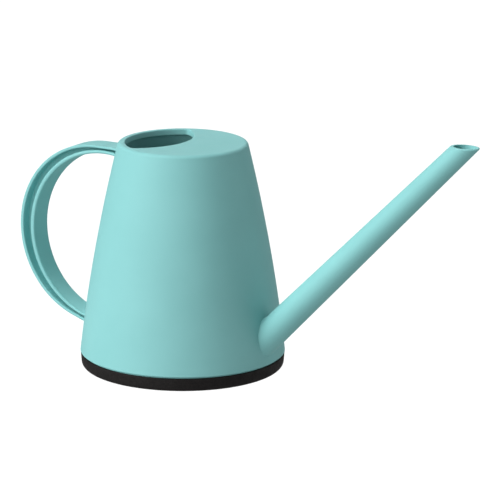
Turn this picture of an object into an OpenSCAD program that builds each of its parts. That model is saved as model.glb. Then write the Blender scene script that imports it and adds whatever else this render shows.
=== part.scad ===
// Indoor watering can. A tapered body with a closed deck and a lens-shaped filler opening
// carries a long straight spout at the front and a crescent loop handle at the back.
// The bottom is a pressed-in floor plate with a seal, and a soft ring is the foot.
// Origin on the floor at the body's axis, +X towards the spout, +Z up, sizes in millimetres.

/* [Body] */
// Outer diameter of the body at its lower edge
body_base_d = 150.1; // [146:0.1:156]
// Diameter that the side wall would reach at the deck if its edge were sharp
body_deck_d = 93.9; // [92:0.1:98]
// Height of the deck above the floor
deck_z = 166.7; // [164:0.1:172]
// How far the side wall bows outward halfway up, measured from a straight cone
wall_bow = 2.56; // [1.5:0.01:3.5]
// Thickness of the side wall, measured horizontally
wall_t = 2; // [1.6:0.1:2.4]
// Thickness of the deck
deck_t = 2.2; // [1.8:0.1:2.8]
// Radius of the deck's outer edge
deck_edge_r = 3; // [2:0.1:4]

/* [Filler opening] */
// Radius of the opening's rear arc, which is centred on the body's axis
fill_rear_r = 42.1; // [40:0.1:42.4]
// Radius of the opening's front arc
fill_front_r = 44; // [42:0.1:46]
// Distance of the front arc's centre behind the body's axis
fill_front_x = 42.8; // [40:0.1:45]
// Radius of the opening's two corners
fill_corner_r = 3; // [2:0.1:5]
// Depth of the lip around the opening, from the deck's top
lip_h = 4.6; // [3:0.1:8]
// Thickness of the lip
lip_t = 1.6; // [1.2:0.1:1.8]

/* [Spout] */
// Rise of the spout above the horizontal, in degrees
spout_rise = 45.35; // [44:0.05:47]
// Distance of the mouth's centre in front of the body's axis
mouth_x = 230.2; // [220:0.1:235]
// Height of the mouth's level rim, which is the can's highest point
mouth_z = 190.9; // [188:0.1:196]
// Outer radius of the spout at the mouth's centre
mouth_r = 7.85; // [6:0.05:9]
// Outer radius of the spout where its axis meets the side wall
spout_root_r = 11.1; // [10:0.1:12]
// Thickness of the spout's wall
spout_t = 1.6; // [1.4:0.1:2.2]

/* [Handle] */
// Width of the handle's two flanges across the can
handle_w = 18; // [15:0.5:24]
// Radius of the loop's outer arc
loop_outer_r = 67.7; // [67:0.05:68.5]
// Distance of the outer arc's centre behind the body's axis
loop_outer_x = 70.45; // [70:0.05:71.5]
// Height of the outer arc's centre
loop_outer_z = 89.25; // [89:0.05:90]
// Radius of the loop's inner arc
loop_inner_r = 63.35; // [62.8:0.05:63.7]
// Distance of the inner arc's centre behind the body's axis
loop_inner_x = 62.35; // [61.6:0.05:63]
// Height of the inner arc's centre
loop_inner_z = 88; // [87.5:0.1:88.5]
// Thickness of the outer flange at the back of the loop
outer_flange_t = 2.75; // [2.3:0.05:3.2]
// Thickness of the inner flange at the back of the loop
inner_flange_t = 3.65; // [3:0.05:4.2]
// Thickness of the outer flange at its ends
outer_end_t = 1.8; // [1.5:0.1:2.1]
// Thickness of the inner flange at its upper end
inner_top_t = 2.3; // [1.9:0.1:2.6]
// Thickness of the inner flange at its lower end
inner_foot_t = 1.7; // [1.5:0.1:2]
// Thickness of the web between the flanges
web_t = 2.4; // [2:0.1:4]
// Downward slope of the handle's straight lower end, in degrees
handle_foot_slope = 18.7; // [17:0.1:20]

/* [Base] */
// Height of the body's lower edge above the floor
ring_h = 11.2; // [11:0.1:12]
// Height of the shadow gap between the ring and the body
ring_gap = 1.2; // [0.6:0.1:1.4]
// Radius of the ring's lower outer edge
ring_edge_r = 3.6; // [3:0.1:4.4]
// Angle by which the ring's upright wall leans outward, in degrees
ring_lean = 4.5; // [3:0.1:6]
// Thickness of the ring's upright wall
ring_t = 2; // [1.6:0.1:2.6]
// Thickness of the ring's foot under the floor plate
ring_foot_t = 1.2; // [1:0.1:1.6]
// Radial width of the ring's foot
ring_foot_w = 13; // [12:0.5:20]
// Height of the floor plate's top, where the water stands
floor_z = 9.4; // [9:0.1:10.4]
// Thickness of the floor plate
floor_t = 2; // [1.6:0.1:2.4]
// Number of ribs under the floor plate
rib_count = 8; // [4:1:16]
// Section diameter of the seal, as it lies squeezed in its groove
seal_d = 1.5; // [1.2:0.1:1.8]

/* [Hidden] */

$fn = 96;
teal = [0.49, 0.80, 0.78];
black = [0.10, 0.10, 0.10];
seal_grey = [0.22, 0.22, 0.23];

// Straight steps that follow the side wall's curve, each rounded edge and the opening's arcs
wall_steps = 12;
edge_steps = 6;
fill_steps = 32;
ring_top_steps = 2;
loop_fn = 180;
seal_fn = 32;

// How far a cut goes past what it cuts
cut_over = 1;

// Side wall: the radius follows a parabola from the lower edge to the deck
wall_h = deck_z - ring_h;
base_r = body_base_d / 2;
top_r = body_deck_d / 2;
function wall_r(z) = let (t = (z - ring_h) / wall_h)
    base_r + (top_r - base_r) * t + 4 * wall_bow * t * (1 - t);
function wall_lean(z) = let (t = (z - ring_h) / wall_h)
    atan((base_r - top_r - 4 * wall_bow * (1 - 2 * t)) / wall_h);

// The deck's edge: a round that meets the side wall and the deck smoothly
deck_edge_z = deck_z - deck_edge_r;
deck_edge_a = wall_lean(deck_edge_z);
wall_end_z = deck_edge_z + deck_edge_r * sin(deck_edge_a);
deck_edge_x = wall_r(wall_end_z) - deck_edge_r * cos(deck_edge_a);

// Lower edge of the body, the shadow gap under it, and the skirt that carries the ring and the
// floor plate
shell_edge_r = 0.8;
wall_start_z = ring_h + shell_edge_r + 1;
gap_depth = 1.15;
gap_r = base_r - gap_depth;
ring_inset = 0.3;
skirt_r = base_r - ring_inset - ring_t;
skirt_t = 2;
skirt_in_r = skirt_r - skirt_t;
skirt_z = 2 * ring_foot_t;
shoulder_z = ring_h + skirt_t;

// The corner arcs of the filler opening touch its front and rear arcs
corner_front = fill_front_r - fill_corner_r;
corner_rear = fill_rear_r - fill_corner_r;
corner_x = (corner_front ^ 2 - corner_rear ^ 2 - fill_front_x ^ 2) / (2 * fill_front_x);
corner_y = sqrt(corner_rear ^ 2 - corner_x ^ 2);
corner_a = atan2(corner_y, corner_x + fill_front_x);
corner_b = atan2(corner_y, corner_x);

// Spout: the taper from the side wall to the mouth, and the lengths past either end
spout_root_z = 30;
spout_reach = (mouth_x - wall_r(spout_root_z)) / cos(spout_rise);
spout_taper = (spout_root_r - mouth_r) / spout_reach;
spout_over = 2 * mouth_r;
spout_under = 14;
mouth_cut = 100;

// Handle: straight ends past the arcs, and the tongues that pass through the side wall
end_bar_l = 30;
tongue_w = 8;
tongue_h = 3.6;
tongue_out = 2;
tongue_l = 12;
top_tongue_drop = 0.5;
low_tongue_drop = 0.4;
top_tongue_z = (loop_outer_z + loop_outer_r + loop_inner_z + loop_inner_r) / 2 - top_tongue_drop;
low_tongue_z = (loop_outer_z - loop_outer_r + loop_inner_z - loop_inner_r) / 2 - low_tongue_drop;

// The channel between the flanges is bounded by two more circles, since the flanges get thinner from
// the back of the loop to its ends. Each is given as [distance behind the axis, height, radius].
channel_outer = [
    loop_outer_x - outer_flange_t + outer_end_t, loop_outer_z, loop_outer_r - outer_end_t];
inner_end_t = (inner_top_t + inner_foot_t) / 2;
channel_inner = [
    loop_inner_x + inner_flange_t - inner_end_t,
    loop_inner_z + (inner_top_t - inner_foot_t) / 2,
    loop_inner_r + inner_end_t];

// Floor plate: its rim fills the skirt and its flange closes the skirt's lower edge
floor_rim_t = 3.2;
rib_t = 1.5;
rib_h = 3.6;
rib_overlap = 0.8;
hub_r = 8;
seal_z = 4.6;
seal_room = 0.15;

// Base ring: outer radius, upper edge, and the bead that hooks inside the floor plate's rim
ring_r = base_r - ring_inset;
ring_top_z = ring_h - ring_gap;
ring_top_r = 0.4;
// The leaning wall touches both the upper and the lower edge's arc: its distance from the body's axis
// along its own normal, and the radius at which the lower arc is centred
ring_wall_d = (ring_r - ring_top_r) * cos(ring_lean) - (ring_top_z - ring_top_r) * sin(ring_lean)
    + ring_top_r;
ring_edge_x = (ring_wall_d - ring_edge_r * (1 - sin(ring_lean))) / cos(ring_lean);
bead_w = 1.5;
bead_h = 1.4;
bead_room = 0.15;

// Points of an arc, from angle a0 to a1
function arc(x, y, r, a0, a1, steps) =
    [for (i = [0 : steps]) let (a = a0 + (a1 - a0) * i / steps) [x + r * cos(a), y + r * sin(a)]];

// Points of the side wall at an inward offset, from low to high
function wall_points(z0, z1, inward) =
    [for (i = [0 : wall_steps]) let (z = z0 + (z1 - z0) * i / wall_steps) [wall_r(z) - inward, z]];

// Outline of the body's outside above its lower edge
function outer_points() = concat(
    arc(base_r - shell_edge_r, ring_h + shell_edge_r, shell_edge_r, -90, 0, edge_steps),
    wall_points(wall_start_z, wall_end_z, 0),
    arc(deck_edge_x, deck_edge_z, deck_edge_r, deck_edge_a, 90, edge_steps));

// Outline of the side wall's inside
function inner_points() = wall_points(shoulder_z, deck_z - deck_t, wall_t);

// The body as a filled form, out to its outer surface
module outer_form() {
    rotate_extrude() polygon(concat([[0, ring_h]], outer_points(), [[0, deck_z]]));
}

// The body's inside as a filled form
module inner_form() {
    rotate_extrude() polygon(concat([[0, shoulder_z]], inner_points(), [[0, deck_z - deck_t]]));
}

// Outline of the filler opening, moved inward by an inset or outward by a negative one
module opening_outline(inset) {
    front_r = fill_front_r - inset;
    rear_r = fill_rear_r - inset;
    corner_r = fill_corner_r - inset;
    polygon(concat(
        arc(-fill_front_x, 0, front_r, -corner_a, corner_a, fill_steps),
        arc(corner_x, corner_y, corner_r, corner_a, corner_b, edge_steps),
        arc(0, 0, rear_r, corner_b, 360 - corner_b, fill_steps),
        arc(corner_x, -corner_y, corner_r, 360 - corner_b, 360 - corner_a, edge_steps)));
}

// Places a shape on the spout's axis, with z = 0 at the mouth's centre and +z outward
module on_spout_axis() {
    translate([mouth_x, 0, mouth_z]) rotate([0, 90 - spout_rise, 0]) children();
}

// A cone along the spout's axis, moved inward by an inset
module spout_cone(inset, over) {
    low = spout_reach + spout_under;
    on_spout_axis()
        translate([0, 0, -low])
            cylinder(h = low + over, r1 = mouth_r + spout_taper * low - inset,
                r2 = mouth_r - spout_taper * over - inset);
}

// Side view of a circle round the loop, given as [distance behind the axis, height, radius]
module loop_circle(c) {
    translate([-c[0], c[1]]) circle(r = c[2], $fn = loop_fn);
}

// The same with a straight end at the top and at the bottom
module loop_side(c) {
    loop_circle(c);
    translate([-c[0], c[1]]) {
        square([end_bar_l, c[2]]);
        rotate(-handle_foot_slope) translate([0, -c[2]]) square([end_bar_l, c[2]]);
    }
}

// Turns a side view into a plate of thickness t, centred on the can's middle plane
module plate(t) {
    rotate([90, 0, 0]) linear_extrude(height = t, center = true) children();
}

// The two tongues that key the handle's ends into the side wall
module handle_tongues() {
    for (z = [top_tongue_z, low_tongue_z])
        translate([-wall_r(z) - tongue_out, -tongue_w / 2, z - tongue_h / 2])
            cube([tongue_l, tongue_w, tongue_h]);
}

// Body: side wall, deck, lip around the opening, and skirt under the lower edge
module can_shell() {
    color(teal)
        difference() {
            union() {
                rotate_extrude()
                    polygon(concat(
                        [[skirt_r, skirt_z], [skirt_r, ring_top_z], [gap_r, ring_top_z],
                        [gap_r, ring_h]],
                        outer_points(),
                        [[0, deck_z], [0, deck_z - deck_t]],
                        [for (i = [wall_steps : -1 : 0]) inner_points()[i]],
                        [[skirt_in_r, ring_h], [skirt_in_r, skirt_z]]));
                translate([0, 0, deck_z - lip_h])
                    linear_extrude(height = lip_h - deck_t / 2) opening_outline(-lip_t);
            }
            translate([0, 0, deck_z - lip_h - cut_over])
                linear_extrude(height = lip_h + 2 * cut_over) opening_outline(0);
            spout_cone(0, 0);
            handle_tongues();
        }
}

// Spout: a tapered tube, cut level at the mouth and flush with the side wall's inside at the root
module spout() {
    color(teal)
        difference() {
            spout_cone(0, spout_over);
            spout_cone(spout_t, spout_over + cut_over);
            inner_form();
            translate([mouth_x - mouth_cut / 2, -mouth_cut / 2, mouth_z]) cube(mouth_cut);
        }
}

// Handle: two flanges and a web, which draw together where the loop meets the body
module handle() {
    outer = [loop_outer_x, loop_outer_z, loop_outer_r];
    inner = [loop_inner_x, loop_inner_z, loop_inner_r];
    color(teal)
        difference() {
            union() {
                difference() {
                    union() {
                        plate(handle_w) difference() {
                            loop_side(outer);
                            loop_side(channel_outer);
                            loop_circle(inner);
                        }
                        plate(handle_w) intersection() {
                            loop_side(outer);
                            difference() {
                                loop_circle(channel_inner);
                                loop_circle(inner);
                            }
                        }
                        plate(web_t) difference() {
                            loop_side(outer);
                            loop_circle(inner);
                        }
                    }
                    outer_form();
                }
                handle_tongues();
            }
            inner_form();
        }
}

// Floor plate: a disc with a deep rim, a flange under the skirt, and ribs underneath
module floor_plate() {
    rim_r = skirt_in_r - floor_rim_t;
    groove_r = skirt_in_r - seal_d;
    groove_low = seal_z - seal_d / 2 - seal_room;
    groove_high = seal_z + seal_d / 2 + seal_room;
    color(teal)
        union() {
            rotate_extrude()
                polygon([
                    [0, floor_z - floor_t], [rim_r, floor_z - floor_t], [rim_r, ring_foot_t],
                    [skirt_r, ring_foot_t], [skirt_r, skirt_z], [skirt_in_r, skirt_z],
                    [skirt_in_r, groove_low], [groove_r, groove_low],
                    [groove_r, groove_high], [skirt_in_r, groove_high],
                    [skirt_in_r, floor_z], [0, floor_z]]);
            translate([0, 0, floor_z - floor_t - rib_h]) {
                cylinder(r = hub_r, h = rib_h + floor_t / 2);
                for (i = [0 : rib_count - 1])
                    rotate(i * 360 / rib_count)
                        translate([0, -rib_t / 2, 0])
                            cube([rim_r + rib_overlap, rib_t, rib_h + floor_t / 2]);
            }
        }
}

// Seal between the floor plate's rim and the skirt
module floor_seal() {
    color(seal_grey)
        rotate_extrude() translate([skirt_in_r - seal_d / 2, seal_z]) circle(d = seal_d, $fn = seal_fn);
}

// Soft ring around the skirt, with a foot that the can stands on
module base_ring() {
    rim_r = skirt_in_r - floor_rim_t - bead_room;
    color(black)
        rotate_extrude()
            polygon(concat(
                arc(ring_edge_x, ring_edge_r, ring_edge_r, -90, -ring_lean, edge_steps),
                arc(ring_r - ring_top_r, ring_top_z - ring_top_r, ring_top_r, -ring_lean, 90,
                    ring_top_steps),
                [[skirt_r, ring_top_z], [skirt_r, ring_foot_t], [rim_r, ring_foot_t],
                [rim_r, ring_foot_t + bead_h], [rim_r - bead_w, ring_foot_t + bead_h],
                [rim_r - bead_w, ring_foot_t], [ring_r - ring_foot_w, ring_foot_t],
                [ring_r - ring_foot_w, 0]]));
}

can_shell();
spout();
handle();
floor_plate();
floor_seal();
base_ring();
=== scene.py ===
"""Looks of an indoor watering can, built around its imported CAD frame.

The visible pieces are meshed here at full quality: smooth walls, rounded edges, and soft fillets
where the spout and the handle grow out of the body. Shapes are worked out in millimetres in the
CAD frame, with the origin on the floor at the body's axis, +X towards the spout and +Z up, and
they turn into metres when a piece is made.
"""

import math

import bmesh
import bpy
import numpy as np
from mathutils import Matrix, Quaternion, Vector


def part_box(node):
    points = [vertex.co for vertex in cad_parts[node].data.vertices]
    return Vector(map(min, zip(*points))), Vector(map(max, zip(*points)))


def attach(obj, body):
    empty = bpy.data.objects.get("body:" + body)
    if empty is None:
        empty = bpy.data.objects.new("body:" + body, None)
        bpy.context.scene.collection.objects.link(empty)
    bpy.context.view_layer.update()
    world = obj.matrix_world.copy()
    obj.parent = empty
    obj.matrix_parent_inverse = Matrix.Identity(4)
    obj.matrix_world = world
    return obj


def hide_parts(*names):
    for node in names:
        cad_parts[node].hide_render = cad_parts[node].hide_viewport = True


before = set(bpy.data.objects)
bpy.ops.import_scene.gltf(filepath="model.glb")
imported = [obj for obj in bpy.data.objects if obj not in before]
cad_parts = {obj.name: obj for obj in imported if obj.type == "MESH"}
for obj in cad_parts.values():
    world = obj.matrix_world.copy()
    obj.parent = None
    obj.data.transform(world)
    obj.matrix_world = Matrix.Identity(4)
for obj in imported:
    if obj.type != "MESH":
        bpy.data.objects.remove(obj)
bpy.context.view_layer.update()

MM = 0.001
BODY = "root"


# ---------------------------------------------------------------- sizes, in millimetres

def low_high(node):
    """Lowest and highest corner of a CAD node, in millimetres."""
    low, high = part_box(node)
    return np.array(low) / MM, np.array(high) / MM


shell_low, shell_high = low_high("can_shell")
handle_low, handle_high = low_high("handle")
spout_high = low_high("spout")[1]
ring_high = low_high("base_ring")[1]
floor_low = low_high("floor_plate")[0]

# Body: the side wall's radius follows a parabola from its lower edge to the deck
DECK_Z = shell_high[2]
BASE_R = shell_high[1]
RING_TOP_Z = ring_high[2]
RING_GAP = 1.2
RING_H = RING_TOP_Z + RING_GAP
GAP_DEPTH = 1.75
TOP_R = 46.95
WALL_BOW = 2.56
WALL_T = 2.0
DECK_T = 2.2
DECK_EDGE_R = 3.0
SHELL_EDGE_R = 0.35
SKIRT_Z = shell_low[2]
SKIRT_T = 2.0
HIDDEN_CHAMFER = 0.3
RING_T = 2.0
RING_EDGE_R = 3.6
RING_TOP_R = 0.5
RING_LEAN = 4.5
RING_FOOT_W = 13.0
RING_R = ring_high[1]
SKIRT_R = RING_R - RING_T
FLOOR_RIM_T = 3.2
HOOK_ROOM = 0.15
HOOK_W = 1.5
HOOK_H = 1.4
HOOK_EDGE_R = 0.5
FOOT_CHAMFER = 0.4

# Filler opening: a rear arc about the body's axis and a front arc, with rounded corners
FILL_REAR_R = 42.1
FILL_FRONT_R = 44.0
FILL_FRONT_X = 42.8
FILL_CORNER_R = 3.0
LIP_H = 4.6
LIP_T = 1.6
LIP_ROUND_R = 0.7
OPENING_MIDDLE_X = -20.0
OPENING_FRONT_STEPS = 112
OPENING_REAR_STEPS = 72
OPENING_CORNER_STEPS = 10

# The side wall's mesh: a finer part with a port where the spout goes through, and a plain part above it
PORT_LOW_Z = 13.0
PORT_HIGH_Z = 55.0
PORT_ROWS = 21
PORT_INNER_LIFT = 0.8
PORT_HALF_ANGLE = math.radians(16)
PORT_POINTS = 240
WALL_LOW_Z = 58.5
WALL_HIGH_Z = 160.0
WALL_ROWS = 30

# Spout: a cone about a straight axis, cut level at the mouth
SPOUT_RISE = math.radians(45.35)
MOUTH_X = 230.2
MOUTH_Z = spout_high[2]
MOUTH_R = 7.85
SPOUT_ROOT_R = 11.1
SPOUT_ROOT_Z = 30.0
SPOUT_T = 1.6
SPOUT_FILLET_R = 0.6
SPOUT_SET_IN = 0.5
SPOUT_TURNS = 96
SPOUT_ROWS = 26

# How far up the spout from its root the search for the side wall starts
ROOT_SEARCH = 25.0
FILLET_SEARCH = 32.0

# Mouth of the spout. The outer rounding runs MOUTH_SOFT where the rim is square, up to MOUTH_SOFT_SHARP
# more where it is sharp, and over MOUTH_SOFT_MOST of the rim's thickness at most. The inner rounding
# takes MOUTH_INNER_SHARE of that thickness and runs MOUTH_INNER_SOFT down the bore
MOUTH_SOFT = 1.3
MOUTH_SOFT_SHARP = 0.8
MOUTH_SOFT_MOST = 0.8
MOUTH_INNER_SHARE = 0.12
MOUTH_INNER_SOFT = 0.4

# Handle: a crescent of I-section. Each circle round the loop is (x, z, radius)
HANDLE_W = handle_high[1] - handle_low[1]
OUTER_CIRCLE = (-70.45, 89.25, 67.69)
INNER_CIRCLE = (-62.35, 88.0, 63.35)
CHANNEL_OUTER = (-69.5, 89.25, 65.9)
CHANNEL_INNER = (-64.0, 88.3, 65.35)
LOOP_CENTRE = np.array([-66.5, 88.8])
LOOP_TOP = math.radians(79.0)
LOOP_LOW = math.radians(257.5)
LOOP_SECTIONS = 120
FOOT_SLOPE = math.radians(18.7)
WEB_T = 2.4
WEB_FILLET_R = 1.0
HANDLE_FILLET_R = 0.9
HANDLE_SET_IN = 1.3
FLARE_RINGS = 9

# Largest edge radii of the handle's two flanges, each on its free face and then towards the channel,
# and the flat that is kept between them
INNER_FACE_R = 1.2
INNER_CHANNEL_R = 1.5
OUTER_FACE_R = 0.8
OUTER_CHANNEL_R = 0.6
EDGE_FLAT = 0.1


# ---------------------------------------------------------------- the side wall as a surface

def wall_r(z):
    """Outer radius of the side wall at a height."""
    t = (z - RING_H) / (DECK_Z - RING_H)
    return BASE_R + (TOP_R - BASE_R) * t + 4 * WALL_BOW * t * (1 - t)


def wall_lean(z):
    """Angle by which the side wall leans inward at a height."""
    t = (z - RING_H) / (DECK_Z - RING_H)
    return math.atan((BASE_R - TOP_R - 4 * WALL_BOW * (1 - 2 * t)) / (DECK_Z - RING_H))


def wall_normal(point):
    """Outward normal of the side wall nearest to a point."""
    lean = wall_lean(point[2])
    across = math.hypot(point[0], point[1])
    return np.array([point[0] / across * math.cos(lean), point[1] / across * math.cos(lean),
                     math.sin(lean)])


def gap_to_wall(point, inward=0.0):
    """Distance from a point to the side wall moved inward, positive outside it."""
    lean = wall_lean(point[2])
    radius = math.hypot(point[0], point[1])
    return (radius - wall_r(point[2]) + inward) * math.cos(lean)


def reach_wall(start, direction, inward=0.0, clear=0.0):
    """Distance along a direction from a start outside the wall to where only clear is left."""
    near, far = 0.0, 40.0
    for _ in range(50):
        mid = (near + far) / 2
        if gap_to_wall(start + direction * mid, inward) > clear:
            near = mid
        else:
            far = mid
    return near


# ---------------------------------------------------------------- mesh helpers

def arc(x, y, r, a0, a1, steps):
    """Points of an arc from angle a0 to a1, in degrees."""
    angles = np.radians(np.linspace(a0, a1, steps + 1))
    return np.column_stack([x + r * np.cos(angles), y + r * np.sin(angles)])


def make_piece(name, vertices, faces, sharp=40.0):
    """A smooth closed mesh from points in millimetres, with duplicate points welded and spare ones gone."""
    mesh = bpy.data.meshes.new(name)
    mesh.from_pydata([Vector(v) * MM for v in vertices], [], faces)
    builder = bmesh.new()
    builder.from_mesh(mesh)
    bmesh.ops.remove_doubles(builder, verts=builder.verts, dist=1e-6)
    unused = [vertex for vertex in builder.verts if not vertex.link_faces]
    bmesh.ops.delete(builder, geom=unused, context="VERTS")
    bmesh.ops.dissolve_degenerate(builder, edges=builder.edges, dist=1e-7)
    bmesh.ops.recalc_face_normals(builder, faces=builder.faces)
    builder.to_mesh(mesh)
    builder.free()
    mesh.shade_smooth()
    mesh.set_sharp_from_angle(angle=math.radians(sharp))
    piece = bpy.data.objects.new(name, mesh)
    bpy.context.scene.collection.objects.link(piece)
    return piece


def grid_faces(rows, columns, wrap_rows, wrap_columns, first=0, skip=None):
    """Quads of a grid of points stored row by row, leaving out the cells in skip."""
    faces = []
    for i in range(rows if wrap_rows else rows - 1):
        for j in range(columns if wrap_columns else columns - 1):
            if skip and skip(i, j):
                continue
            i2, j2 = (i + 1) % rows, (j + 1) % columns
            faces.append((first + i * columns + j, first + i * columns + j2,
                          first + i2 * columns + j2, first + i2 * columns + j))
    return faces


# ---------------------------------------------------------------- body

def opening_samples():
    """Arc centre, radius and angle of each point around the filler opening's outline."""
    corner_front = FILL_FRONT_R - FILL_CORNER_R
    corner_rear = FILL_REAR_R - FILL_CORNER_R
    x = (corner_front ** 2 - corner_rear ** 2 - FILL_FRONT_X ** 2) / (2 * FILL_FRONT_X)
    y = math.sqrt(corner_rear ** 2 - x ** 2)
    a = math.degrees(math.atan2(y, x + FILL_FRONT_X))
    b = math.degrees(math.atan2(y, x))
    arcs = [((-FILL_FRONT_X, 0), FILL_FRONT_R, -a, a, OPENING_FRONT_STEPS),
            ((x, y), FILL_CORNER_R, a, b, OPENING_CORNER_STEPS),
            ((0, 0), FILL_REAR_R, b, 360 - b, OPENING_REAR_STEPS),
            ((x, -y), FILL_CORNER_R, 360 - b, 360 - a, OPENING_CORNER_STEPS)]
    return [(centre, radius, math.radians(a0 + (a1 - a0) * i / steps))
            for centre, radius, a0, a1, steps in arcs for i in range(steps)]


def opening_row(samples, inset, z):
    """A ring of points on the opening's outline, moved inward by an inset."""
    return np.array([(c[0] + (r - inset) * math.cos(a), c[1] + (r - inset) * math.sin(a), z)
                     for c, r, a in samples])


def body_angles(samples):
    """Angle about the body's axis that each outline point leads to, seen from inside the opening."""
    middle = np.array([OPENING_MIDDLE_X, 0.0])
    angles = []
    for x, y, _ in opening_row(samples, 0, 0):
        way = np.array([x, y]) - middle
        way /= np.linalg.norm(way)
        along = -middle @ way + math.sqrt((middle @ way) ** 2 - middle @ middle + TOP_R ** 2)
        hit = middle + way * along
        angles.append(math.atan2(hit[1], hit[0]))
    return np.array(angles)


def patch(angles, heights, columns, rows, hole, radius_at, rings=7, crowding=1.6):
    """Fills a rectangle of a wall's grid around a hole, with quads that run from the one to the other.

    hole is a closed line of points on the wall, and crowding draws the rings closer together beside
    it. The points come back ring by ring, from the rectangle's own outline inward to the hole.
    """
    c0, c1 = columns
    r0, r1 = rows
    up = 1 if r1 > r0 else -1
    outline = [(j, r0) for j in range(c0, c1)] + [(c1, i) for i in range(r0, r1, up)]
    outline += [(j, r1) for j in range(c1, c0, -1)] + [(c0, i) for i in range(r1, r0, -up)]
    scale = wall_r(heights[(r0 + r1) // 2])
    border = np.array([(angles[j] * scale, heights[i]) for j, i in outline])
    flat = np.array([(math.atan2(p[1], p[0]) * scale, p[2]) for p in hole])
    centre = flat.mean(axis=0)
    turn = np.arctan2(flat[:, 1] - centre[1], flat[:, 0] - centre[0])
    reach = np.hypot(*(flat - centre).T)
    order = np.argsort(turn)
    wanted = np.arctan2(border[:, 1] - centre[1], border[:, 0] - centre[0])
    radius = np.interp(wanted, turn[order], reach[order], period=2 * math.pi)
    edge = centre + np.column_stack([np.cos(wanted), np.sin(wanted)]) * radius[:, None]
    points = []
    for k in range(rings + 1):
        t = 1 - (1 - k / rings) ** crowding
        for across, z in border * (1 - t) + edge * t:
            r = radius_at(z)
            points.append((r * math.cos(across / scale), r * math.sin(across / scale), z))
    return points, len(outline)


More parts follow.
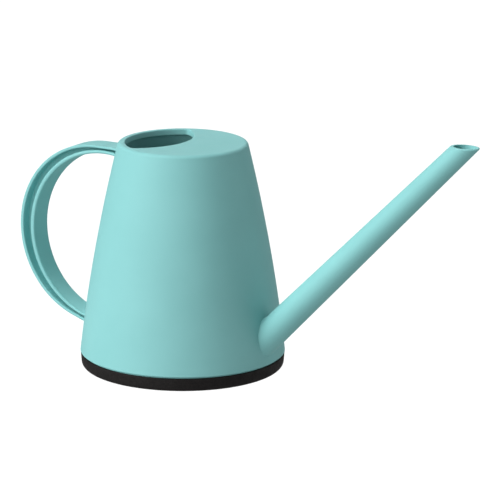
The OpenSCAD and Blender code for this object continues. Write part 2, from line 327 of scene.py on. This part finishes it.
def make_shell():
    """Body: one closed skin from the skirt up the wall, over the deck, round the lip and back inside.

    Beside an edge, a row of points 0.2 to 0.6 mm away keeps the flat surface's shading flat.
    """
    samples = opening_samples()
    angles = body_angles(samples)
    count = len(samples)
    rows, spans = [], {}

    def turned(profile):
        for r, z in profile:
            rows.append(np.column_stack([r * np.cos(angles), r * np.sin(angles),
                                         np.full(count, z)]))

    # outside, from the skirt's lower edge to the deck
    edge_z = DECK_Z - DECK_EDGE_R
    lean = wall_lean(edge_z)
    wall_end = edge_z + DECK_EDGE_R * math.sin(lean)
    edge_x = wall_r(wall_end) - DECK_EDGE_R * math.cos(lean)
    gap_r = BASE_R - GAP_DEPTH
    turned([(SKIRT_R - HIDDEN_CHAMFER, SKIRT_Z), (SKIRT_R, SKIRT_Z + HIDDEN_CHAMFER)])
    turned([(SKIRT_R, RING_TOP_Z - 0.2), (SKIRT_R, RING_TOP_Z)])
    turned([(gap_r, RING_TOP_Z), (gap_r, RING_TOP_Z + 0.2), (gap_r, RING_H - 0.2), (gap_r, RING_H)])
    turned(arc(BASE_R - SHELL_EDGE_R, RING_H + SHELL_EDGE_R, SHELL_EDGE_R, -90, 0, 8))
    wall_z = [RING_H + SHELL_EDGE_R + 0.4, *np.linspace(PORT_LOW_Z, PORT_HIGH_Z, PORT_ROWS),
              *np.linspace(WALL_LOW_Z, WALL_HIGH_Z, WALL_ROWS), wall_end - 0.6]
    spans["outer"] = len(rows)
    turned([(wall_r(z), z) for z in wall_z])
    turned(arc(edge_x, edge_z, DECK_EDGE_R, math.degrees(lean), 90, 12))

    # deck: from the round edge to the opening, whose upper edge is rounded too
    opening_start = opening_row(samples, -LIP_ROUND_R, DECK_Z)
    deck_start = rows[-1]
    for t in (0.1, 0.3, 0.5, 0.7, 0.9):
        rows.append(deck_start * (1 - t) + opening_start * t)
    for inset, z in arc(-LIP_ROUND_R, DECK_Z - LIP_ROUND_R, LIP_ROUND_R, 90, 0, 8):
        rows.append(opening_row(samples, inset, z))
    lip_low = DECK_Z - LIP_H
    half = LIP_T / 2
    rows.append(opening_row(samples, 0, DECK_Z - LIP_ROUND_R - 0.3))
    rows.append(opening_row(samples, 0, lip_low + half + 0.3))
    for inset, z in arc(-half, lip_low + half, half, 0, -180, 10):
        rows.append(opening_row(samples, inset, z))
    rows.append(opening_row(samples, -LIP_T, DECK_Z - DECK_T - 0.6))
    rows.append(opening_row(samples, -LIP_T - 0.3, DECK_Z - DECK_T))

    # inside, from under the deck down to the skirt
    under = DECK_Z - DECK_T
    inner_top = wall_r(under) - WALL_T
    turned([(inner_top - 0.5, under), (inner_top, under - 0.6)])
    inner_z = [*np.linspace(WALL_HIGH_Z, WALL_LOW_Z, WALL_ROWS),
               *np.linspace(PORT_HIGH_Z, PORT_LOW_Z + PORT_INNER_LIFT, PORT_ROWS)]
    spans["inner"] = len(rows)
    turned([(wall_r(z) - WALL_T, z) for z in inner_z])
    skirt_in = SKIRT_R - SKIRT_T
    turned([(skirt_in, RING_H - 0.2), (skirt_in, SKIRT_Z + HIDDEN_CHAMFER),
            (skirt_in + HIDDEN_CHAMFER, SKIRT_Z)])

    # the port for the spout, through both skins
    front = [j for j in range(count) if abs(angles[j]) < PORT_HALF_ANGLE]
    columns = (front[0], front[-1])
    outer_hole, inner_hole = port_outlines()
    outer_rows = (spans["outer"] + 1, spans["outer"] + PORT_ROWS)
    inner_rows = (spans["inner"] + WALL_ROWS, spans["inner"] + WALL_ROWS + PORT_ROWS - 1)
    outer_heights = {spans["outer"] + k: z for k, z in enumerate(wall_z)}
    inner_heights = {spans["inner"] + k: z for k, z in enumerate(inner_z)}

    def inside_port(i, j):
        return columns[0] <= j < columns[1] and (outer_rows[0] <= i < outer_rows[1]
                                                 or inner_rows[0] <= i < inner_rows[1])

    vertices = [tuple(p) for row in rows for p in row]
    faces = grid_faces(len(rows), count, True, True, skip=inside_port)
    outer, around = patch(angles, outer_heights, columns, outer_rows, outer_hole, wall_r)
    inner, _ = patch(angles, inner_heights, columns, inner_rows[::-1], inner_hole,
                     lambda z: wall_r(z) - WALL_T)
    first = len(vertices)
    rings = len(outer) // around
    vertices += outer
    faces += grid_faces(rings, around, False, True, first)
    second = len(vertices)
    vertices += inner
    faces += grid_faces(rings, around, False, True, second)
    outer_edge = first + (rings - 1) * around
    inner_edge = second + (rings - 1) * around
    for k in range(around):
        k2 = (k + 1) % around
        faces.append((outer_edge + k, outer_edge + k2, inner_edge + k2, inner_edge + k))
    return make_piece("shell_skin", vertices, faces)


# ---------------------------------------------------------------- spout

spout_way = np.array([math.cos(SPOUT_RISE), 0, math.sin(SPOUT_RISE)])
spout_side = np.array([0, 1.0, 0])
spout_up = np.array([-math.sin(SPOUT_RISE), 0, math.cos(SPOUT_RISE)])
mouth = np.array([MOUTH_X, 0, MOUTH_Z])
spout_reach = (MOUTH_X - wall_r(SPOUT_ROOT_Z)) / math.cos(SPOUT_RISE)
spout_taper = (SPOUT_ROOT_R - MOUTH_R) / spout_reach


def spout_ray(turn, inset):
    """The cone's line at an angle about its axis: start, direction to the root, and outward normal."""
    out = math.cos(turn) * spout_up + math.sin(turn) * spout_side
    start = mouth + out * (MOUTH_R - inset)
    direction = -spout_way + out * spout_taper
    return start, direction / np.linalg.norm(direction), out


def level_cut(start, direction):
    """Where a line of the cone crosses the mouth's level plane."""
    return start + direction * ((MOUTH_Z - start[2]) / direction[2])


def spout_root_point(turn, inset, inward):
    """Where a line of the cone meets the side wall moved inward."""
    start, direction, _ = spout_ray(turn, inset)
    start = start + direction * (spout_reach - ROOT_SEARCH)
    return start + direction * reach_wall(start, direction, inward)


def root_fillet(turn, radius, steps=8):
    """A rolling ball's arc between the cone and the side wall, from the cone to the wall."""
    start, direction, out = spout_ray(turn, -radius)
    start = start + direction * (spout_reach - FILLET_SEARCH)
    centre = start + direction * reach_wall(start, direction, 0, radius)
    to_cone = -out
    to_wall = -wall_normal(centre)
    angle = math.acos(max(-1.0, min(1.0, float(to_cone @ to_wall))))
    points = []
    for k in range(steps + 1):
        t = k / steps
        way = (math.sin((1 - t) * angle) * to_cone + math.sin(t * angle) * to_wall) / math.sin(angle)
        points.append(centre + way * radius)
    return points, to_wall


def port_outlines():
    """The holes that the spout needs in the wall's outside, under its fillet, and inside."""
    turns = np.linspace(0, 2 * math.pi, PORT_POINTS, endpoint=False)
    outer, inner = [], []
    for turn in turns:
        fillet, _ = root_fillet(turn, SPOUT_FILLET_R)
        meets = spout_root_point(turn, 0, 0)
        outer.append(fillet[-1] * 0.6 + meets * 0.4)
        inner.append(spout_root_point(turn, 0, WALL_T))
    return outer, inner


def bend(before, corner, after, steps=5):
    """A rounded corner: points on a smooth curve from before to after, pulled towards the corner."""
    return [before * (1 - t) ** 2 + corner * 2 * t * (1 - t) + after * t ** 2
            for t in np.linspace(0, 1, steps + 1)]


def make_spout():
    """Spout: a hollow taper with a soft-edged level mouth and a fillet where it leaves the body."""
    rows = []
    for turn in np.linspace(0, 2 * math.pi, SPOUT_TURNS, endpoint=False):
        start, direction, _ = spout_ray(turn, 0)
        in_start, in_direction, _ = spout_ray(turn, SPOUT_T)
        rim_out = level_cut(start, direction)
        rim_in = level_cut(in_start, in_direction)
        rim_way = rim_in - rim_out
        rim_t = np.linalg.norm(rim_way)
        rim_way /= rim_t
        fillet, to_wall = root_fillet(turn, SPOUT_FILLET_R)
        foot = fillet[-1]
        under = foot + to_wall * SPOUT_SET_IN
        root_out = spout_root_point(turn, 0, WALL_T)
        root_in = spout_root_point(turn, SPOUT_T, WALL_T)

        column = [root_out, under, foot, *fillet[-2::-1]]
        soft = min(MOUTH_SOFT + MOUTH_SOFT_SHARP * (direction @ rim_way), MOUTH_SOFT_MOST * rim_t)
        body_start, body_end = fillet[0], rim_out + direction * (soft + 0.9)
        column += [body_start * (1 - t) + body_end * t for t in np.linspace(0, 1, SPOUT_ROWS)[1:]]
        column += [rim_out + direction * (soft + 0.3)]
        column += bend(rim_out + direction * soft, rim_out, rim_out + rim_way * soft, 8)
        column += bend(rim_out + rim_way * (1 - MOUTH_INNER_SHARE) * rim_t, rim_in,
                       rim_in + in_direction * MOUTH_INNER_SOFT, 4)
        column += [rim_in + in_direction * (MOUTH_INNER_SOFT + 0.3)]
        bore_start = rim_in + in_direction * (MOUTH_INNER_SOFT + 1.0)
        column += [bore_start * (1 - t) + root_in * t for t in np.linspace(0, 1, SPOUT_ROWS)]
        rows.append(column)
    count = len(rows[0])
    vertices = [tuple(p) for row in rows for p in row]
    return make_piece("spout_tube", vertices, grid_faces(len(rows), count, True, True))


# ---------------------------------------------------------------- handle

def ray_circle(way, circle):
    """Distance from the loop's centre along a direction to a circle around it."""
    offset = LOOP_CENTRE - np.array(circle[:2])
    along = offset @ way
    return -along + math.sqrt(along ** 2 - offset @ offset + circle[2] ** 2)


def ray_side(way, circle):
    """The same, where the circle runs out into a straight end at the top and at the bottom."""
    reach = ray_circle(way, circle)
    hit = LOOP_CENTRE + way * reach
    centre = np.array(circle[:2])
    up = np.array([0.0, 1.0])
    down = np.array([-math.sin(FOOT_SLOPE), -math.cos(FOOT_SLOPE)])
    for facing in (up, down):
        touch = centre + facing * circle[2]
        if way @ facing > 0 and hit[0] > touch[0]:
            reach = ((touch - LOOP_CENTRE) @ facing) / (way @ facing)
    return reach


def loop_depths(angle):
    """Distances from the loop's centre of the inner face, the channel's two sides and the outer face."""
    way = np.array([math.cos(angle), math.sin(angle)])
    return (ray_circle(way, INNER_CIRCLE), ray_circle(way, CHANNEL_INNER),
            ray_side(way, CHANNEL_OUTER), ray_side(way, OUTER_CIRCLE))


def section_outline(depths):
    """I-section with rounded edges, as points (across, outward) from the inner face."""
    half = HANDLE_W / 2
    web = WEB_T / 2
    inner, outer, depth = (value - depths[0] for value in depths[1:])
    fillet = min(WEB_FILLET_R, 0.4 * (outer - inner))
    face = min(INNER_FACE_R, 0.42 * inner)
    lower = min(INNER_CHANNEL_R, inner - face - EDGE_FLAT)
    back = min(OUTER_FACE_R, 0.45 * (depth - outer))
    upper = min(OUTER_CHANNEL_R, depth - outer - back - EDGE_FLAT)
    flat = half - INNER_CHANNEL_R - 0.5
    right = [(0.0, 0.0), (flat, 0.0)]
    right += [tuple(p) for p in arc(half - face, face, face, -90, 0, 5)]
    right += [tuple(p) for p in arc(half - lower, inner - lower, lower, 0, 90, 6)]
    right += [(flat, inner), (web + fillet + 0.4, inner)]
    right += [tuple(p) for p in arc(web + fillet, inner + fillet, fillet, -90, -180, 4)]
    right += [tuple(p) for p in arc(web + fillet, outer - fillet, fillet, 180, 90, 4)]
    right += [(web + fillet + 0.4, outer), (flat, outer)]
    right += [tuple(p) for p in arc(half - upper, outer + upper, upper, -90, 0, 6)]
    right += [tuple(p) for p in arc(half - back, depth - back, back, 0, 90, 5)]
    right += [(flat, depth), (0.0, depth)]
    left = [(-w, v) for w, v in right[-2:0:-1]]
    return np.array(right + left)


def outline_normals(outline):
    """Outward normal at each point of a closed outline that runs anticlockwise."""
    along = np.roll(outline, -1, axis=0) - np.roll(outline, 1, axis=0)
    normals = np.column_stack([along[:, 1], -along[:, 0]])
    return normals / np.linalg.norm(normals, axis=1)[:, None]


def section_ring(angle):
    """One section of the handle in place, with each point's outward normal."""
    depths = loop_depths(angle)
    outline = section_outline(depths)
    normals = outline_normals(outline)
    way = np.array([math.cos(angle), 0, math.sin(angle)])
    centre = np.array([LOOP_CENTRE[0], 0, LOOP_CENTRE[1]])
    across = np.array([0, 1.0, 0])
    points = [centre + way * (depths[0] + v) + across * w for w, v in outline]
    outward = [way * n[1] + across * n[0] for n in normals]
    return points, outward


def handle_end(angle, sign):
    """Rings that flare the handle's end into the side wall, and a flat one inside the wall.

    Where a face looks into the channel, the flare is kept small, so that the channel stays open.
    """
    points, outward = section_ring(angle)
    run = sign * np.array([-math.sin(angle), 0, math.cos(angle)])
    way = np.array([math.cos(angle), 0, math.sin(angle)])
    inner_face, channel_low, channel_high, _ = loop_depths(angle)
    gap = channel_high - channel_low
    narrow = min(HANDLE_FILLET_R, 0.2 * gap)
    middle = points[0] @ way - inner_face + (channel_low + channel_high) / 2
    rings = []
    for k in range(FLARE_RINGS):
        swing = math.pi / 2 * k / (FLARE_RINGS - 1)
        ring = []
        for point, out in zip(points, outward):
            height = point @ way - middle
            into_channel = -math.copysign(1, height) * (out @ way)
            share = 1.0 if abs(height) < gap / 2 + 0.01 else min(1.0, max(0.0, 2 * into_channel))
            most = HANDLE_FILLET_R * (1 - share) + narrow * share
            start = point + out * most * (1 - math.cos(swing))
            reach = reach_wall(start, run)
            ring.append(start + run * (reach - most * (1 - math.sin(swing))))
        rings.append(ring)
    middle_point = np.mean(points, axis=0)
    inward = -wall_normal(middle_point)
    seat = middle_point + run * reach_wall(middle_point, run) + inward * HANDLE_SET_IN
    rings.append([p + run * (((seat - p) @ inward) / (run @ inward)) for p in rings[-1]])
    return rings


def make_handle():
    """Handle: the I-section swept along the crescent, flared softly into the body at both ends."""
    rings = [section_ring(angle)[0] for angle in np.linspace(LOOP_TOP, LOOP_LOW, LOOP_SECTIONS)]
    rings = handle_end(LOOP_TOP, -1)[::-1] + rings[1:-1] + handle_end(LOOP_LOW, 1)
    count = len(rings[0])
    vertices = [tuple(p) for ring in rings for p in ring]
    faces = grid_faces(len(rings), count, False, True)
    faces += [tuple(range(count)), tuple(range(len(vertices) - count, len(vertices)))]
    return make_piece("handle_loop", vertices, faces)


# ---------------------------------------------------------------- base

def make_turned(name, profile, steps=192):
    """A closed profile of (radius, height) turned about the body's axis."""
    angles = np.linspace(0, 2 * math.pi, steps, endpoint=False)
    vertices = [(r * math.cos(a), r * math.sin(a), z) for a in angles for r, z in profile]
    return make_piece(name, vertices, grid_faces(steps, len(profile), True, True))


def make_ring():
    """Base ring: a slightly leaning wall with a rounded lower edge, a foot, and a hook in the floor."""
    foot_t = floor_low[2]
    foot_in = RING_R - RING_FOOT_W
    top_x = RING_R - RING_TOP_R
    top_z = RING_TOP_Z - RING_TOP_R
    lean = math.radians(RING_LEAN)
    wall_d = top_x * math.cos(lean) - top_z * math.sin(lean) + RING_TOP_R
    edge_x = (wall_d - RING_EDGE_R * (1 - math.sin(lean))) / math.cos(lean)
    hook_out = SKIRT_R - SKIRT_T - FLOOR_RIM_T - HOOK_ROOM
    hook_in = hook_out - HOOK_W
    hook_z = foot_t + HOOK_H - HOOK_EDGE_R
    profile = [*arc(edge_x, RING_EDGE_R, RING_EDGE_R, -90, -RING_LEAN, 14),
               *arc(top_x, top_z, RING_TOP_R, -RING_LEAN, 90, 6),
               (SKIRT_R, RING_TOP_Z), (SKIRT_R, foot_t), (hook_out, foot_t),
               *arc(hook_out - HOOK_EDGE_R, hook_z, HOOK_EDGE_R, 0, 90, 4),
               *arc(hook_in + HOOK_EDGE_R, hook_z, HOOK_EDGE_R, 90, 180, 4),
               (hook_in, foot_t), (foot_in + HIDDEN_CHAMFER, foot_t),
               (foot_in, foot_t - HIDDEN_CHAMFER), (foot_in, FOOT_CHAMFER),
               (foot_in + FOOT_CHAMFER, 0), (edge_x - 0.5, 0)]
    return make_turned("ring_foot", profile)


# ---------------------------------------------------------------- materials

def node_tree(name):
    """A new material with its nodes, its links and its shader."""
    material = bpy.data.materials.new(name)
    material.use_nodes = True
    nodes = material.node_tree.nodes
    return material, nodes, material.node_tree.links, nodes["Principled BSDF"]


def noise(nodes, links, coordinates, cell_mm, detail, roughness=0.5):
    """Noise in the object's own space, with a cell size in millimetres."""
    texture = nodes.new("ShaderNodeTexNoise")
    texture.inputs["Scale"].default_value = 1 / (cell_mm * MM)
    texture.inputs["Detail"].default_value = detail
    texture.inputs["Roughness"].default_value = roughness
    links.new(coordinates, texture.inputs["Vector"])
    return texture.outputs["Fac"]


def remap(nodes, links, value, low, high, to_low, to_high):
    """Maps a value from one range to another, held at the ends."""
    node = nodes.new("ShaderNodeMapRange")
    node.inputs["From Min"].default_value = low
    node.inputs["From Max"].default_value = high
    node.inputs["To Min"].default_value = to_low
    node.inputs["To Max"].default_value = to_high
    links.new(value, node.inputs["Value"])
    return node.outputs["Result"]


def mixed_colour(nodes, links, factor, first, second):
    """A colour between two, by a factor."""
    node = nodes.new("ShaderNodeMix")
    node.data_type = "RGBA"
    node.inputs["A"].default_value = (*first, 1)
    node.inputs["B"].default_value = (*second, 1)
    links.new(factor, node.inputs["Factor"])
    return node.outputs["Result"]


def bump(nodes, links, height, distance_mm, strength, below=None):
    """A bump of a height in millimetres, on top of another bump if one is given."""
    node = nodes.new("ShaderNodeBump")
    node.inputs["Distance"].default_value = distance_mm * MM
    node.inputs["Strength"].default_value = strength
    links.new(height, node.inputs["Height"])
    if below is not None:
        links.new(below, node.inputs["Normal"])
    return node.outputs["Normal"]


def teal_plastic():
    """Matt moulded plastic: spark-grained surface, with faint flow marks and uneven gloss."""
    material, nodes, links, shader = node_tree("teal_plastic")
    place = nodes.new("ShaderNodeTexCoord").outputs["Object"]
    cloud = noise(nodes, links, place, cell_mm=38, detail=3)
    grain = noise(nodes, links, place, cell_mm=0.55, detail=2, roughness=0.6)
    gloss = noise(nodes, links, place, cell_mm=9, detail=4)
    ripple = noise(nodes, links, place, cell_mm=24, detail=1)
    tone = remap(nodes, links, cloud, 0.3, 0.7, 0, 1)
    colour = mixed_colour(nodes, links, tone, (0.250, 0.580, 0.578), (0.264, 0.604, 0.602))
    links.new(colour, shader.inputs["Base Color"])
    links.new(remap(nodes, links, gloss, 0.3, 0.7, 0.50, 0.58), shader.inputs["Roughness"])
    wave = bump(nodes, links, ripple, distance_mm=0.25, strength=0.15)
    surface = bump(nodes, links, grain, distance_mm=0.03, strength=0.35, below=wave)
    links.new(surface, shader.inputs["Normal"])
    shader.inputs["Specular IOR Level"].default_value = 0.15
    return material


def black_rubber():
    """Dull black moulded rubber with a coarse speckled grain."""
    material, nodes, links, shader = node_tree("black_rubber")
    place = nodes.new("ShaderNodeTexCoord").outputs["Object"]
    speck = noise(nodes, links, place, cell_mm=0.9, detail=4, roughness=0.7)
    patchy = noise(nodes, links, place, cell_mm=6, detail=3)
    tone = remap(nodes, links, speck, 0.38, 0.66, 0, 1)
    colour = mixed_colour(nodes, links, tone, (0.0050, 0.0046, 0.0046), (0.0180, 0.0155, 0.0150))
    links.new(colour, shader.inputs["Base Color"])
    links.new(remap(nodes, links, patchy, 0.3, 0.7, 0.62, 0.8), shader.inputs["Roughness"])
    surface = bump(nodes, links, speck, distance_mm=0.22, strength=0.8)
    links.new(surface, shader.inputs["Normal"])
    shader.inputs["Specular IOR Level"].default_value = 0.22
    return material


def seal_rubber():
    """Smooth dark grey rubber of the hidden seal."""
    material, nodes, links, shader = node_tree("seal_rubber")
    place = nodes.new("ShaderNodeTexCoord").outputs["Object"]
    fine = noise(nodes, links, place, cell_mm=1.5, detail=2)
    colour = mixed_colour(nodes, links, fine, (0.030, 0.030, 0.032), (0.045, 0.045, 0.048))
    links.new(colour, shader.inputs["Base Color"])
    links.new(remap(nodes, links, fine, 0.3, 0.7, 0.5, 0.6), shader.inputs["Roughness"])
    surface = bump(nodes, links, fine, distance_mm=0.02, strength=0.3)
    links.new(surface, shader.inputs["Normal"])
    return material


def paint(piece, material):
    """Gives a piece one material in place of what it had."""
    piece.data.materials.clear()
    piece.data.materials.append(material)


# ---------------------------------------------------------------- assembly

teal = teal_plastic()
black = black_rubber()
seal = seal_rubber()

PIECES = (
    (make_shell, "can_shell", teal, "teal_plastic"),
    (make_spout, "spout", teal, "teal_plastic"),
    (make_handle, "handle", teal, "teal_plastic"),
    (make_ring, "base_ring", black, "black_rubber"),
)
for make, node, material, slot in PIECES:
    piece = make()
    paint(piece, material)
    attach(piece, BODY)
    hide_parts(node)
paint(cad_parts["floor_plate"], teal)
paint(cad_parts["floor_seal"], seal)


# ---------------------------------------------------------------- stage, camera and light

# Sizes and places of the stage, in metres
FLOOR_SIZE = 60
FLOOR_DROP = 0.0002
CAMERA_PLACE = Vector((1.2815, -2.0117, 0.7010))
CAMERA_AIM = Vector((0.03077, 0.04348, 0.08068))
CAMERA_ROLL = math.radians(0.348)
CAMERA_LENS = 243.36
CAMERA_SENSOR = 36

# Strength of the surround above and below the horizon, and of the sun that lights only the floor
WORLD_ABOVE = 0.05
WORLD_BELOW = 0.42
SWEEP_STRENGTH = 3.7

# Each sun's name, azimuth, elevation, strength and width, with the angles in degrees
SUNS = (
    ("key_low", 238, 10, 0.90, 36),
    ("key", 236, 34, 1.25, 36),
    ("key_high", 228, 60, 1.38, 36),
    ("front_fill", 279, 10, 0.86, 40),
    ("right_low", 25, 10, 0.58, 40),
    ("back", 80, 35, 0.45, 40),
    ("back_left", 120, 35, 0.50, 40),
)


def make_floor():
    """A plain pale floor that reaches past the camera's view, and sends no light back to the can."""
    bpy.ops.mesh.primitive_plane_add(size=FLOOR_SIZE, location=(0, 0, -FLOOR_DROP))
    floor = bpy.context.object
    floor.name = "floor"
    floor.visible_diffuse = False
    floor.visible_glossy = False
    material, _, _, shader = node_tree("pale_floor")
    shader.inputs["Base Color"].default_value = (0.9, 0.9, 0.9, 1)
    shader.inputs["Roughness"].default_value = 0.9
    shader.inputs["Specular IOR Level"].default_value = 0.1
    floor.data.materials.append(material)
    return floor


def make_camera():
    """A long lens at the photograph's angle, aimed at the middle of the can, very slightly tilted."""
    camera = bpy.data.objects.new("camera", bpy.data.cameras.new("camera"))
    bpy.context.scene.collection.objects.link(camera)
    camera.location = CAMERA_PLACE
    level = (CAMERA_AIM - CAMERA_PLACE).to_track_quat("-Z", "Y")
    roll = Quaternion((0, 0, 1), CAMERA_ROLL)
    camera.rotation_euler = (level @ roll).to_euler()
    camera.data.lens = CAMERA_LENS
    camera.data.sensor_width = CAMERA_SENSOR
    camera.data.clip_start = 0.05
    camera.data.clip_end = 200
    bpy.context.scene.camera = camera


def make_sun(name, azimuth, elevation, strength, angle):
    """A soft sun. Azimuth 0 shines from +X, and 90 from +Y."""
    light = bpy.data.objects.new(name, bpy.data.lights.new(name, "SUN"))
    bpy.context.scene.collection.objects.link(light)
    a, e = math.radians(azimuth), math.radians(elevation)
    towards = Vector((math.cos(a) * math.cos(e), math.sin(a) * math.cos(e), math.sin(e)))
    light.rotation_euler = towards.to_track_quat("Z", "Y").to_euler()
    light.data.energy = strength
    light.data.angle = math.radians(angle)
    return light


def make_world(above, below):
    """A plain white surround. Below the horizon its strength stands in for light off the floor."""
    world = bpy.data.worlds.new("surround")
    world.use_nodes = True
    nodes, links = world.node_tree.nodes, world.node_tree.links
    way = nodes.new("ShaderNodeTexCoord").outputs["Generated"]
    height = nodes.new("ShaderNodeSeparateXYZ")
    links.new(way, height.inputs["Vector"])
    strength = remap(nodes, links, height.outputs["Z"], -0.15, 0.05, below, above)
    links.new(strength, nodes["Background"].inputs["Strength"])
    nodes["Background"].inputs["Color"].default_value = (1, 1, 1, 1)
    bpy.context.scene.world = world


def light_only(light, shone_on, casting=None):
    """Limits a light to some objects, and its shadows to those cast by others."""
    lit = bpy.data.collections.new(light.name + "_lit")
    for piece in shone_on:
        lit.objects.link(piece)
    light.light_linking.receiver_collection = lit
    if casting is not None:
        blockers = bpy.data.collections.new(light.name + "_shadows")
        for piece in casting:
            blockers.objects.link(piece)
        light.light_linking.blocker_collection = blockers


floor = make_floor()
make_camera()
make_world(WORLD_ABOVE, WORLD_BELOW)
can = [piece for piece in bpy.data.objects if piece.type == "MESH" and piece != floor]
for sun in SUNS:
    light_only(make_sun(*sun), can)
light_only(make_sun("sweep", 0, 90, SWEEP_STRENGTH, 10), [floor], [floor])
scene = bpy.context.scene
scene.view_settings.view_transform = "Standard"
scene.view_settings.look = "None"
